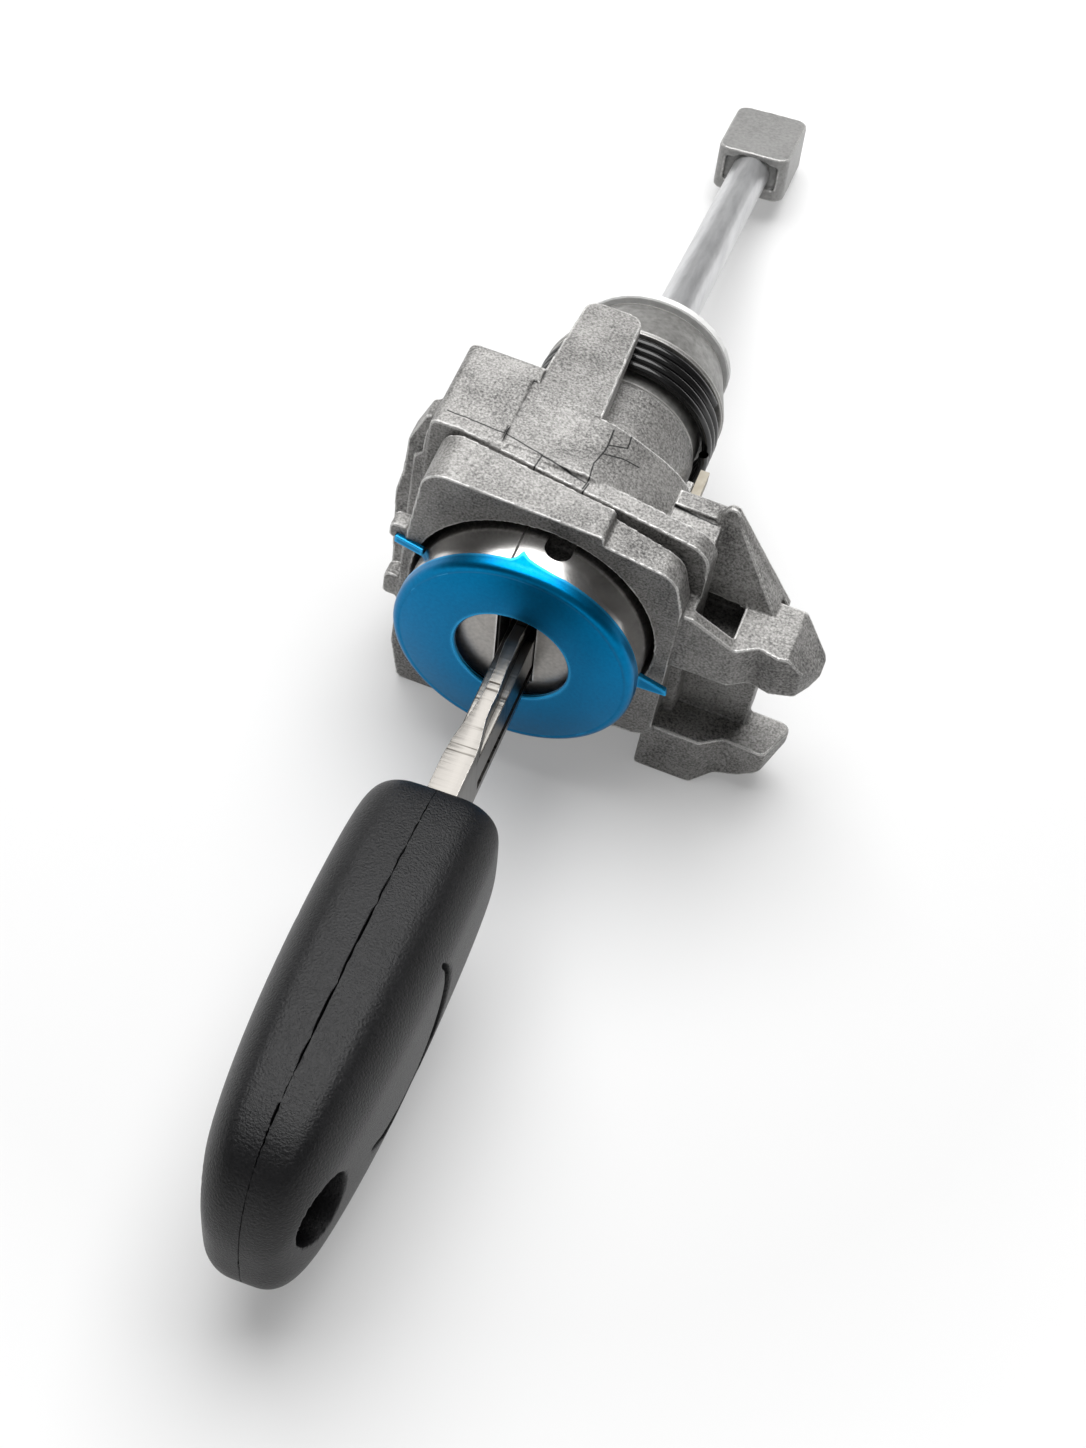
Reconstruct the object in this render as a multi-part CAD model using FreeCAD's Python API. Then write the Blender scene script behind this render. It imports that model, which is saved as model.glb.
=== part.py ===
import FreeCAD, Part
import os
from math import atan2, cos, hypot, pi, radians, sin, tan

# Millimetres. The lock axis is +Y towards the tail, +X is the hook side, +Z is up.
# The origin is the centre of the blue cap's front face.

V = FreeCAD.Vector
AXIS = V(0, 1, 0)
ORIGIN = V(0, 0, 0)

# Fits
RUN_GAP = 0.07
SEAT_GAP = 0.1
SIDE_GAP = 0.2
FACE_DISC_GAP = 0.3

# The key, plug and tail stand turned by this much in the photographed state
CORE_ROLL = -3.5
KEY_OFFSET_X = 0.45

# Face cap
CAP_R = 12.25
FLOOR_Z = -CAP_R - 5.25
CAP_HOLE_R = 5.78
CAP_T = 1.1
CAP_EDGE = ((0.7, 0.0), (0.2, 0.2), (0.0, 0.7))
CAP_SKIRT_END = 1.7
CAP_SKIRT_T = 0.28
CAP_FIN_END = 3.1
CAP_FIN = [(-1.75, 1.0), (-1.75, 1.75), (-1.2, 3.0), (-0.55, 2.35), (0.55, 1.95), (2.15, 1.72), (2.15, 1.0)]
# The two bent tabs, as distance outside the cap's rim and y, with their heights
CAP_TAB_LEFT = [(-0.55, 1.2), (-0.55, 3.2), (1.55, 5.5), (1.55, 7.5), (2.65, 7.3), (2.45, 4.6), (0.65, 1.2)]
CAP_TAB_LEFT_Z = (2.4, 3.25)
CAP_TAB_RIGHT = [(-0.55, 1.2), (-0.55, 3.4), (0.95, 5.3), (1.95, 5.3), (1.95, 3.6), (0.35, 1.2)]
CAP_TAB_RIGHT_Z = (-4.4, -3.2)

# Face sleeve, the polished steel cup behind the cap
SLEEVE_R = CAP_R - CAP_SKIRT_T - 0.02
SLEEVE_T = 0.5
SLEEVE_END = 11.2
SLEEVE_HOLE_R = 7.1
SLEEVE_FRONT_T = 0.45
SLEEVE_EDGE = 0.25
SLEEVE_SEAM = (-2.15, -1.8, 1.9, 6.5)
SLEEVE_WINDOW_R = 1.35
SLEEVE_WINDOW_X = 1.6
SLEEVE_WINDOW_Y = (4.8, 7.4)

# Lock barrel
BARREL_FRONT_R = SLEEVE_R - SLEEVE_T - 0.05
BARREL_FRONT_END = 12.4
BARREL_R = 8.6
BARREL_END = 30.3
COUNTERBORE_R = 7.0
COUNTERBORE_DEPTH = 1.7

# Plug
PLUG_R = 6.2
PLUG_FACE_R = COUNTERBORE_R - FACE_DISC_GAP
PLUG_FACE_Y = (1.3, 2.2)
PLUG_SHOULDER_R = COUNTERBORE_R - SEAT_GAP
PLUG_SHOULDER_T = 0.85
PLUG_END = 28.6
KEYWAY_HALF_W = 1.97
KEYWAY_HALF_H = 4.15
FACE_SLOT_HALF_W = 2.0
FACE_SLOT_HALF_H = 4.5
TANG_HALF = 2.3
TANG_END = 35.6

# Wafers
WAFER_COUNT = 8
WAFER_FIRST_Y = 5.6
WAFER_PITCH = 2.6
WAFER_T = 0.8
WAFER_HALF_W = 3.25
WAFER_HALF_H = 4.85
WAFER_WINDOW_HALF_W = 2.1
WAFER_LIFT = 0.45
WAFER_SLOT_GAP = 0.05
WAFER_NOTCH_X = -2.35
WAFER_NOTCH_Z = 1.4
LEDGE_Z = 4.75
LOCK_GROOVE_R = 6.95
WAFER_HEIGHTS = (0.0, 0.12, 0.05, 0.16, 0.02, 0.1, 0.04, 0.14)
SPRING_LEAF_T = 0.2
SPRING_LEAF_W = 0.6
SPRING_LEAF_FOLDS = 3
SPRING_SIDE_GAP = 0.04

# Key blade
BLADE_HALF_T = 1.45
BLADE_HALF_H = 3.9
BLADE_TIP = 27.4
BLADE_TIP_LEN = 3.2
KEYPIN_Y = -32.0
BLADE_ROOT = KEYPIN_Y - 4.0
BLADE_CUT_X = 0.75
BLADE_CUT = [(-14.5, 4.5), (-11.0, 2.2), (-8.0, 2.9), (-5.0, 1.5), (-2.0, 2.4), (1.5, 1.3), (4.5, 2.6),
             (8.0, 1.6), (11.0, 2.8), (14.5, 1.2), (18.0, 2.2), (21.0, 1.5), (26.0, 2.4), (28.0, 2.4),
             (28.0, 4.5)]

# Key bow, as rounded sections along the key: y, half width, top, bottom, corner radius
BOW_SECTIONS = [
    (-20.1, 5.0, 4.6, -5.0, 3.0),
    (-20.8, 6.1, 5.7, -6.4, 3.6),
    (-22.7, 6.75, 6.7, -7.6, 4.2),
    (-28.0, 7.0, 7.6, -8.8, 4.7),
    (-36.0, 7.05, 8.4, -9.6, 4.9),
    (-44.0, 6.9, 8.9, -10.4, 4.9),
    (-52.0, 6.4, 9.1, -10.9, 4.7),
    (-58.0, 5.7, 8.7, -11.2, 4.4),
    (-62.0, 4.9, 6.6, -11.0, 4.0),
    (-64.2, 3.9, 2.6, -9.8, 3.2),
    (-65.2, 2.7, -1.0, -7.6, 2.2),
]
BOW_CORNER_STEPS = 4
BOW_SPLIT_GAP = 0.04
BOW_PANEL = ((-44.6, 0.7), 9.0, 6.4)
BOW_PANEL_DEPTH = 0.35
BOW_PANEL_RIM = 0.45
BOW_SLIT = (1.1, 1.4)
RING_HOLE_Y = -59.6
RING_HOLE_Z = -0.6
RING_HOLE_R = 3.4
RING_HOLE_LEN = 0.6
CHIP_BOX = (BLADE_ROOT - 14.0, BLADE_ROOT - 2.4, 2.6, 3.0)
CHIP_CENTRE_Z = -2.0
BLADE_POCKET_GAP = 0.05
KEYPIN_R = 1.2
KEYPIN_LEN = 8.0

# Driver, the drum that turns with the plug behind the barrel
SPOOL_R = BARREL_R - 0.25
SPOOL_Y = (30.5, 36.1)
DRUM_FRONT_R = SPOOL_R + 1.4
DRUM_REAR_R = SPOOL_R - 0.4
DRUM_Y = (36.1, 42.2)
DRUM_EDGE = 0.35
DRIVER_PIN_R = 0.9
DRIVER_PIN_Y = 32.6
DRIVER_PIN_HALF = SPOOL_R - 0.75
PIVOT_Y = 39.5
ROD_PIN_R = 0.9
ROD_PIN_HALF = DRUM_REAR_R - 0.05
SOCKET_HALF_W = 2.6
SOCKET_HALF_H = 3.35
SOCKET_FRONT = 36.4

# Rear washer
WASHER_R = DRUM_REAR_R + 0.35
WASHER_HOLE_R = 3.5
WASHER_T = 0.5
WASHER_COLLAR_R = 4.4
WASHER_COLLAR_H = 0.6

# Return spring
COIL_WIRE_R = 0.52
COIL_SPACE = 0.48
COIL_MEAN_R = SPOOL_R + COIL_SPACE + COIL_WIRE_R
COIL_TURNS = 3.95
COIL_PITCH = 1.07
COIL_STEPS = 20
COIL_SIDES = 6
COIL_START = -0.5
COIL_FRONT_Y = 31.1
COIL_LEG_LEN = 3.4

# Tail rod and block, built straight and then swung down about the pivot
TAIL_DROOP = 14.0
TAIL_YAW = 0.8
TAIL_ROLL = -4.4
ROD_R = 2.25
ROD_FRONT = -2.6
ROD_END = 56.5
BLOCK_S = (49.4, 59.8)
BLOCK_HALF_W = 3.75
BLOCK_TOP = 2.3
BLOCK_FOOT = -2.75
BLOCK_CORNER_R = 1.3
BLOCK_RECESS = (2.75, -1.5, 1.3, 0.6)

# Housing front block, as x, z, corner radius
BEZEL_FRONT = 5.7
SIDE_X = CAP_R + 1.85
BEZEL_LEFT = -CAP_R - 1.35
BEZEL = [(-CAP_R - 0.25, CAP_R + 2.75, 2.6), (5.4, CAP_R + 2.15, 0.4), (5.5, CAP_R + 1.15, 0.2),
         (SIDE_X - 1.2, CAP_R - 0.05, 2.6), (SIDE_X, 8.0, 1.0), (SIDE_X, -CAP_R - 0.25, 2.0),
         (-6.5, -CAP_R - 1.65, 0.5), (-7.0, FLOOR_Z, 0.8), (-CAP_R - 0.25, FLOOR_Z, 0.8),
         (BEZEL_LEFT, -12.0, 0.6), (BEZEL_LEFT, 3.0, 2.0)]
BEZEL_NECK_IN = 0.9
BEZEL_GROOVE = 0.55
OPENING_R = CAP_R + 0.25
OPENING_END = 12.5
HOUSING_BORE_R = BARREL_R + SEAT_GAP

# Housing flange
FLANGE_TILT = -6.6
FLANGE_FRONT = 10.6
FLANGE_T = 2.2
FLANGE_LEFT = -CAP_R - 3.45
FLANGE = [(FLANGE_LEFT + 1.1, CAP_R + 2.75, 3.2), (SIDE_X + 1.1, CAP_R + 1.25, 2.4),
          (SIDE_X + 1.5, -CAP_R - 0.75, 2.0), (FLANGE_LEFT, -CAP_R - 2.25, 2.0), (FLANGE_LEFT, 8.4, 0.3), (FLANGE_LEFT + 0.8, 9.2, 0.3)]

# Rib that wraps the flange's left end from behind
RIB = [(FLANGE_LEFT + 2.2, 13.9, 0.0), (FLANGE_LEFT + 0.7, 13.7, 0.8), (FLANGE_LEFT - 0.8, 9.6, 1.0),
       (FLANGE_LEFT - 1.0, 4.6, 0.5), (FLANGE_LEFT - 1.5, 1.4, 0.8), (FLANGE_LEFT - 1.2, -5.0, 0.5),
       (FLANGE_LEFT - 0.9, -10.6, 0.8), (FLANGE_LEFT + 2.2, -11.6, 0.0)]
RIB_Y = (13.2, 15.6)

# Housing boss, blocks and arm behind the flange
BOSS_R = BARREL_R + 5.5
BOSS_END = 19.2
BOSS_STEP_R = BOSS_R - 0.25
BOSS_STEP_Y = 17.9
LEFT_BLOCK_X = (-CAP_R - 2.05, -6.6)
LEFT_BLOCK_END = 22.8
LEFT_BLOCK_TOP = 14.8
LEFT_BLOCK_CORNER = 0.9
RIGHT_BLOCK_X = (SIDE_X - 4.3, SIDE_X + 0.7)
RIGHT_BLOCK_END = 16.0
RIGHT_BLOCK_TOP = 12.8
RIGHT_BLOCK_STEP = (14.0, 12.3)
RIGHT_BLOCK_BOTTOM = -12.5
BLOCK_FRONT = 10.9
ARM_PLAN = [(-7.3, 12.4, 0.0), (-6.1, 34.8, 1.4), (-0.3, 34.8, 1.4), (0.7, 12.4, 0.0)]
ARM_UNDER = COIL_MEAN_R + COIL_WIRE_R + 1.23
ARM_SIDE = [(12.4, 8.8), (12.4, ARM_UNDER + 4.2), (34.8, ARM_UNDER + 2.1), (34.8, ARM_UNDER),
            (BOSS_END - 0.1, ARM_UNDER), (BOSS_END - 0.1, 8.8)]
PLATFORM = [(-7.0, 8.0), (-7.0, 14.6), (1.4, 14.6, 0.6), (3.6, 13.8), (5.4, 12.0), (5.4, 8.0)]
SCREW_R = 2.1
SCREW_X = -10.15
SCREW_Z = -13.6
SCREW_DEPTH = 9.0

# Side lugs on the left
LUG_X = (BEZEL_LEFT - 1.6, BEZEL_LEFT + 0.6)
LUG_Y = (6.0, 7.8)
LUG_ZS = ((3.5, 5.5), (-5.2, -2.1))
LUG_CORNER_R = 0.6

# Spring stop lug at the right of the barrel
STOP_LUG = (BARREL_R + 0.15, BARREL_R + 0.9, BOSS_END - 0.2, 27.4, -1.3, 1.3)
STOP_PAD = (BARREL_R + 0.95, BARREL_R + 1.9, 20.5, 29.6, -0.9, 0.9)

# Clip hooks on the right, x counted from the bezel's right wall, plans as x, y, corner radius
UPPER_PLAN = [(-0.3, 5.9, 0.8), (5.9, 5.9, 0.6), (7.8, 7.2, 1.0), (9.9, 6.7, 1.0), (12.3, 7.4, 0.5),
              (14, 10.2, 0.8), (14, 12.2, 0.8), (11.1, 13.4, 0.5), (-0.3, 13.4, 0.0)]
UPPER_SIDE = [(-1.1, -0.4, 0.0), (-1.1, 7.3, 0.0), (1.1, 7.3, 0.3), (5.5, 5.1, 0.3), (10.8, 5.2, 0.4),
              (14.3, 0.9, 0.6), (13.3, -0.4, 0.3)]
UPPER_POCKET = (1, 5.2, 7.2, 14.2, 0.9)
WEB = [(-0.3, 0.0, 0.0), (-0.3, 12.3, 0.0), (0.9, 14.5, 0.6), (1.7, 14.5, 0.7), (8.9, 4.0, 0.0),
       (8.9, 0.0, 0.0)]
WEB_Y = (14.2, 15.0)
WEB_FOOT = (-0.3, 8.9, 13.3, 15.0, -0.4, 3.6)
LINK_BLOCK = (0.3, 8.5, 10.2, 14.2, FLOOR_Z + 6.0, 0.0)
LOWER_PLAN = [(-0.9, 5.9, 0.4), (5, 5.9, 0.6), (7.1, 7.5, 1.0), (11.4, 7.3, 0.8), (13.3, 12.2, 0.9),
              (-0.9, 12.2, 0.0)]
LOWER_SIDE = [(-0.9, FLOOR_Z, 0.0), (5.1, FLOOR_Z, 0.6), (9.5, FLOOR_Z + 1.9, 2.0), (13.8, FLOOR_Z + 5.8, 0.2),
              (13.8, FLOOR_Z + 6.5, 0.0), (-0.9, FLOOR_Z + 6.9, 0.0)]
HOOK_ROOT = (-1.5, 1.1, 8.6, 15.0, -12.5, 7.0)

BIG = 60.0


def box(x0, x1, y0, y1, z0, z1):
    return Part.makeBox(x1 - x0, y1 - y0, z1 - z0, V(x0, y0, z0))


def rod(r, y0, y1, x=0.0, z=0.0):
    return Part.makeCylinder(r, y1 - y0, V(x, y0, z), AXIS)


def cross_pin(r, half, y, z=0.0):
    return Part.makeCylinder(r, 2 * half, V(-half, y, z), V(1, 0, 0))


def ring(outer, inner, y0, y1):
    return rod(outer, y0, y1).cut(rod(inner, y0 - 1, y1 + 1))


def wire(points, place):
    """Closed wire through a, b, radius points; place turns a, b into a vector."""
    pts = [(p[0], p[1], p[2] if len(p) > 2 else 0.0) for p in points]
    starts, ends, mids = [], [], []
    for i, (a, b, r) in enumerate(pts):
        pa, pb = pts[i - 1][:2]
        na, nb = pts[(i + 1) % len(pts)][:2]
        ua, ub = pa - a, pb - b
        wa, wb = na - a, nb - b
        lu, lw = hypot(ua, ub), hypot(wa, wb)
        ua, ub, wa, wb = ua / lu, ub / lu, wa / lw, wb / lw
        if r <= 0:
            starts.append((a, b))
            ends.append((a, b))
            mids.append(None)
            continue
        half = atan2(abs(ua * wb - ub * wa), ua * wa + ub * wb) / 2
        t = r / tan(half)
        ca, cb = ua + wa, ub + wb
        lc = hypot(ca, cb)
        reach = r / sin(half)
        starts.append((a + ua * t, b + ub * t))
        ends.append((a + wa * t, b + wb * t))
        mids.append((a + ca / lc * (reach - r), b + cb / lc * (reach - r)))
    edges = []
    for i in range(len(pts)):
        if mids[i]:
            edges.append(Part.Arc(place(*starts[i]), place(*mids[i]), place(*ends[i])).toShape())
        j = (i + 1) % len(pts)
        if hypot(starts[j][0] - ends[i][0], starts[j][1] - ends[i][1]) > 1e-6:
            edges.append(Part.LineSegment(place(*ends[i]), place(*starts[j])).toShape())
    return Part.Wire(edges)


def prism_y(points, y0, y1):
    face = Part.Face(wire(points, lambda x, z: V(x, y0, z)))
    return face.extrude(V(0, y1 - y0, 0))


def prism_z(points, z0, z1):
    face = Part.Face(wire(points, lambda x, y: V(x, y, z0)))
    return face.extrude(V(0, 0, z1 - z0))


def prism_x(points, x0, x1):
    face = Part.Face(wire(points, lambda y, z: V(x0, y, z)))
    return face.extrude(V(x1 - x0, 0, 0))


def turned_profile(points):
    """Solid of revolution about the lock axis from r, y points."""
    face = Part.Face(wire(points, lambda r, y: V(r, y, 0)))
    return face.revolve(ORIGIN, AXIS, 360)


def rolled(shape):
    out = shape.copy()
    out.rotate(ORIGIN, AXIS, CORE_ROLL)
    return out


def key_placed(shape):
    out = rolled(shape)
    out.translate(V(KEY_OFFSET_X, 0, 0))
    return out


def tilted(shape):
    out = shape.copy()
    out.rotate(V(0, FLANGE_FRONT, 0), V(0, 0, 1), FLANGE_TILT)
    return out


def tail_placed(shape):
    out = shape.copy()
    pivot = V(0, PIVOT_Y, 0)
    out.translate(pivot)
    out.rotate(pivot, V(1, 0, 0), -TAIL_DROOP)
    out.rotate(pivot, V(0, 0, 1), TAIL_YAW)
    return out


def drum_placed(shape):
    """Puts a part of the driver's socket on the tail's hinge line."""
    out = shape.copy()
    out.rotate(V(0, PIVOT_Y, 0), V(0, 0, 1), TAIL_YAW)
    return out


def one_solid(shape):
    shape = shape.removeSplitter()
    if len(shape.Solids) != 1:
        raise ValueError("expected one solid, found %s" % [round(s.Volume, 2) for s in shape.Solids])
    return shape.Solids[0]


def front_block():
    behind = tilted(box(-BIG, BIG, FLANGE_FRONT - BEZEL_GROOVE, BIG, -BIG, BIG))
    block = prism_y(BEZEL, BEZEL_FRONT, FLANGE_FRONT + FLANGE_T).cut(behind)
    neck = []
    for x, z, r in BEZEL:
        grow = hypot(x, z)
        inward = (grow - BEZEL_NECK_IN) / grow
        neck.append((x * inward, z * inward, r))
    return block.fuse(prism_y(neck, BEZEL_FRONT + 1, FLANGE_FRONT + 1))


def flange():
    plate = tilted(prism_y(FLANGE, FLANGE_FRONT, FLANGE_FRONT + FLANGE_T))
    return plate.fuse(prism_y(RIB, *RIB_Y))


def rear_masses():
    boss = rod(BOSS_R, BLOCK_FRONT, BOSS_STEP_Y).fuse(rod(BOSS_STEP_R, BLOCK_FRONT, BOSS_END))
    x0, x1 = LEFT_BLOCK_X
    r = LEFT_BLOCK_CORNER
    outline = [(x0, FLOOR_Z), (x0, LEFT_BLOCK_TOP, r), (x1, LEFT_BLOCK_TOP), (x1, FLOOR_Z)]
    left = prism_y(outline, BLOCK_FRONT + 1, LEFT_BLOCK_END)
    step_y, step_z = RIGHT_BLOCK_STEP
    right = box(*RIGHT_BLOCK_X, step_y, RIGHT_BLOCK_END, RIGHT_BLOCK_BOTTOM, RIGHT_BLOCK_TOP)
    right = right.fuse(box(*RIGHT_BLOCK_X, BLOCK_FRONT, step_y, RIGHT_BLOCK_BOTTOM, step_z))
    return boss.fuse([left, right])


def arm():
    plan = prism_z(ARM_PLAN, 0, BIG)
    reach = plan.common(prism_x(ARM_SIDE, -BIG, BIG))
    return reach.fuse(prism_y(PLATFORM, BLOCK_FRONT + 1, BOSS_END))


def upper_hook():
    hook = prism_z(UPPER_PLAN, -BIG, BIG).common(prism_y(UPPER_SIDE, 0, BIG))
    x0, x1, y0, y1, z0 = UPPER_POCKET
    hook = hook.cut(box(x0, x1, y0, y1, z0, BIG))
    hook = hook.fuse([prism_y(WEB, *WEB_Y), box(*WEB_FOOT).cut(box(x0, x1, y0, y1, z0, BIG))])
    return hook.fuse(box(*HOOK_ROOT)).translated(V(SIDE_X, 0, 0))


def lower_hook():
    hook = prism_z(LOWER_PLAN, -BIG, BIG).common(prism_y(LOWER_SIDE, 0, BIG))
    return hook.fuse(box(*LINK_BLOCK)).translated(V(SIDE_X, 0, 0))


def side_lugs():
    lugs = []
    for z0, z1 in LUG_ZS:
        x0, x1 = LUG_X
        outline = [(x0, z0, LUG_CORNER_R), (x0, z1, LUG_CORNER_R), (x1, z1), (x1, z0)]
        lugs.append(prism_y(outline, *LUG_Y))
    return lugs


def housing():
    body = front_block().fuse([flange(), rear_masses(), arm(), upper_hook(), lower_hook()])
    body = body.fuse(side_lugs() + [box(*STOP_LUG)])
    body = body.cut(rod(OPENING_R, -1, OPENING_END))
    body = body.cut(rod(SCREW_R, LEFT_BLOCK_END - SCREW_DEPTH, LEFT_BLOCK_END + 1, SCREW_X, SCREW_Z))
    return one_solid(body.cut(rod(HOUSING_BORE_R, 0, BIG / 2)))


def face_cap():
    profile = [(CAP_HOLE_R, 0)] + [(CAP_R - inward, y) for inward, y in CAP_EDGE]
    profile += [(CAP_R, CAP_SKIRT_END), (CAP_R - CAP_SKIRT_T, CAP_SKIRT_END), (CAP_R - CAP_SKIRT_T, CAP_T),
                (CAP_HOLE_R, CAP_T)]
    cap = turned_profile(profile)
    skirt = ring(CAP_R, CAP_R - CAP_SKIRT_T, CAP_T, CAP_FIN_END)
    cap = cap.fuse(skirt.common(prism_z(CAP_FIN, 0, BIG)))
    clear = rod(CAP_R - CAP_SKIRT_T, CAP_T, BIG)
    for side, plan, heights in ((-1, CAP_TAB_LEFT, CAP_TAB_LEFT_Z), (1, CAP_TAB_RIGHT, CAP_TAB_RIGHT_Z)):
        outline = [(side * (CAP_R + outside), y) for outside, y in plan]
        cap = cap.fuse(prism_z(outline, *heights).cut(clear))
    return one_solid(cap)


def face_sleeve():
    inner = SLEEVE_R - SLEEVE_T
    front = CAP_T + SEAT_GAP / 2
    profile = [(SLEEVE_HOLE_R, front), (SLEEVE_R - SLEEVE_EDGE, front), (SLEEVE_R, front + SLEEVE_EDGE),
               (SLEEVE_R, SLEEVE_END), (inner, SLEEVE_END), (inner, front + SLEEVE_FRONT_T),
               (SLEEVE_HOLE_R, front + SLEEVE_FRONT_T)]
    sleeve = turned_profile(profile)
    x0, x1, y0, y1 = SLEEVE_SEAM
    sleeve = sleeve.cut(box(x0, x1, y0, y1, 0, BIG))
    y0, y1 = SLEEVE_WINDOW_Y
    window = Part.makeCylinder(SLEEVE_WINDOW_R, BIG, V(SLEEVE_WINDOW_X, y0, 0), V(0, 0, 1))
    window = window.fuse(box(SLEEVE_WINDOW_X - SLEEVE_WINDOW_R, SLEEVE_WINDOW_X + SLEEVE_WINDOW_R,
                             y0, y1, 0, BIG))
    return one_solid(sleeve.cut(window))


def lock_barrel():
    front = CAP_T + SEAT_GAP / 2 + SLEEVE_FRONT_T + SEAT_GAP / 2
    bore = PLUG_R + RUN_GAP
    shoulder = front + COUNTERBORE_DEPTH
    profile = [(COUNTERBORE_R, front), (BARREL_FRONT_R, front), (BARREL_FRONT_R, BARREL_FRONT_END),
               (BARREL_R, BARREL_FRONT_END), (BARREL_R, BARREL_END), (bore, BARREL_END), (bore, shoulder),
               (COUNTERBORE_R, shoulder)]
    barrel = turned_profile(profile)
    half = WAFER_HALF_W + SIDE_GAP
    last = WAFER_FIRST_Y + WAFER_PITCH * WAFER_COUNT
    groove = box(-half, half, WAFER_FIRST_Y - 1, last, -LOCK_GROOVE_R, LOCK_GROOVE_R)
    groove = groove.common(rod(LOCK_GROOVE_R, 0, BIG))
    return one_solid(barrel.cut(rolled(groove)))


def wafer_y(index):
    return WAFER_FIRST_Y + WAFER_PITCH * index


def plug():
    y0 = PLUG_FACE_Y[1] + SEAT_GAP / 4
    core = rod(PLUG_R, y0, PLUG_END)
    core = core.fuse(rod(PLUG_SHOULDER_R, y0, y0 + PLUG_SHOULDER_T))
    core = core.fuse(box(-TANG_HALF, TANG_HALF, PLUG_END, TANG_END, -TANG_HALF, TANG_HALF))
    core = core.cut(box(-KEYWAY_HALF_W, KEYWAY_HALF_W, 0, PLUG_END - SEAT_GAP, -KEYWAY_HALF_H, KEYWAY_HALF_H))
    half = WAFER_HALF_W + WAFER_SLOT_GAP
    for i in range(WAFER_COUNT):
        y = wafer_y(i)
        y0 = y - WAFER_SLOT_GAP
        y1 = y + WAFER_T + WAFER_SLOT_GAP
        slot = box(-half, half, y0, y1, -BIG, LEDGE_Z)
        core = core.cut(slot.fuse(box(WAFER_NOTCH_X - SIDE_GAP, half, y0, y1, 0, BIG)))
    pin_hole = cross_pin(DRIVER_PIN_R, DRIVER_PIN_HALF, DRIVER_PIN_Y)
    return rolled(one_solid(core.cut(pin_hole)))


def plug_face():
    disc = rod(PLUG_FACE_R, *PLUG_FACE_Y)
    slot = box(-FACE_SLOT_HALF_W, FACE_SLOT_HALF_W, 0, BIG, -FACE_SLOT_HALF_H, FACE_SLOT_HALF_H)
    return rolled(one_solid(disc.cut(slot)))


def wafer(index):
    y = wafer_y(index)
    high = WAFER_HEIGHTS[index]
    body = box(-WAFER_HALF_W, WAFER_HALF_W, y, y + WAFER_T, -WAFER_HALF_H, WAFER_HALF_H)
    window_top = BLADE_HALF_H + WAFER_SLOT_GAP + high
    window_foot = -BLADE_HALF_H - WAFER_LIFT - WAFER_SLOT_GAP
    body = body.cut(box(-WAFER_WINDOW_HALF_W, WAFER_WINDOW_HALF_W, y - 1, y + 2, window_foot, window_top))
    body = body.cut(box(-WAFER_HALF_W - 1, WAFER_NOTCH_X, y - 1, y + 2, WAFER_NOTCH_Z, WAFER_HALF_H + 1))
    return rolled(one_solid(body))


def wafer_spring(index):
    """Folded leaf between the notch in the wafer's side and the plug's ledge above it."""
    y = wafer_y(index) + (WAFER_T - SPRING_LEAF_W) / 2
    x0 = -WAFER_HALF_W + SPRING_SIDE_GAP
    x1 = WAFER_NOTCH_X - SPRING_SIDE_GAP
    z0 = WAFER_NOTCH_Z + SPRING_SIDE_GAP
    z1 = LEDGE_Z - SPRING_SIDE_GAP
    leaf = box(x0, x1, y, y + SPRING_LEAF_W, z0, z1)
    fold = (z1 - z0 - (SPRING_LEAF_FOLDS + 1) * SPRING_LEAF_T) / SPRING_LEAF_FOLDS
    for k in range(SPRING_LEAF_FOLDS):
        z = z0 + SPRING_LEAF_T + k * (fold + SPRING_LEAF_T)
        left, right = ((x0 - 1, x1 - SPRING_LEAF_T), (x0 + SPRING_LEAF_T, x1 + 1))[k % 2]
        leaf = leaf.cut(box(left, right, y - 1, y + 1, z, z + fold))
    return rolled(one_solid(leaf))


def key_blade():
    tip_y = BLADE_TIP - BLADE_TIP_LEN
    side = [(BLADE_ROOT, -BLADE_HALF_H), (BLADE_ROOT, BLADE_HALF_H), (tip_y, BLADE_HALF_H),
            (BLADE_TIP, BLADE_HALF_H / 4, 0.4), (BLADE_TIP, -BLADE_HALF_H / 4, 0.4), (tip_y, -BLADE_HALF_H)]
    blade = prism_x(side, -BLADE_HALF_T, BLADE_HALF_T)
    blade = blade.cut(prism_x(BLADE_CUT, BLADE_CUT_X, BLADE_HALF_T + 1))
    under = [(y, -z) for y, z in BLADE_CUT]
    blade = blade.cut(prism_x(under, -BLADE_HALF_T - 1, -BLADE_CUT_X))
    blade = blade.cut(cross_pin(KEYPIN_R + RUN_GAP, BIG, KEYPIN_Y))
    return key_placed(one_solid(blade))


def bow_section(y, half, top, foot, r):
    """One rounded outline of the bow, each corner in a few straight steps."""
    corners = [(half - r, top - r, 0), (-half + r, top - r, 90),
               (-half + r, foot + r, 180), (half - r, foot + r, 270)]
    points = []
    for x, z, start in corners:
        for k in range(BOW_CORNER_STEPS + 1):
            a = radians(start + 90 * k / BOW_CORNER_STEPS)
            points.append(V(x + r * cos(a), y, z + r * sin(a)))
    return Part.makePolygon(points + points[:1])


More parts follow.
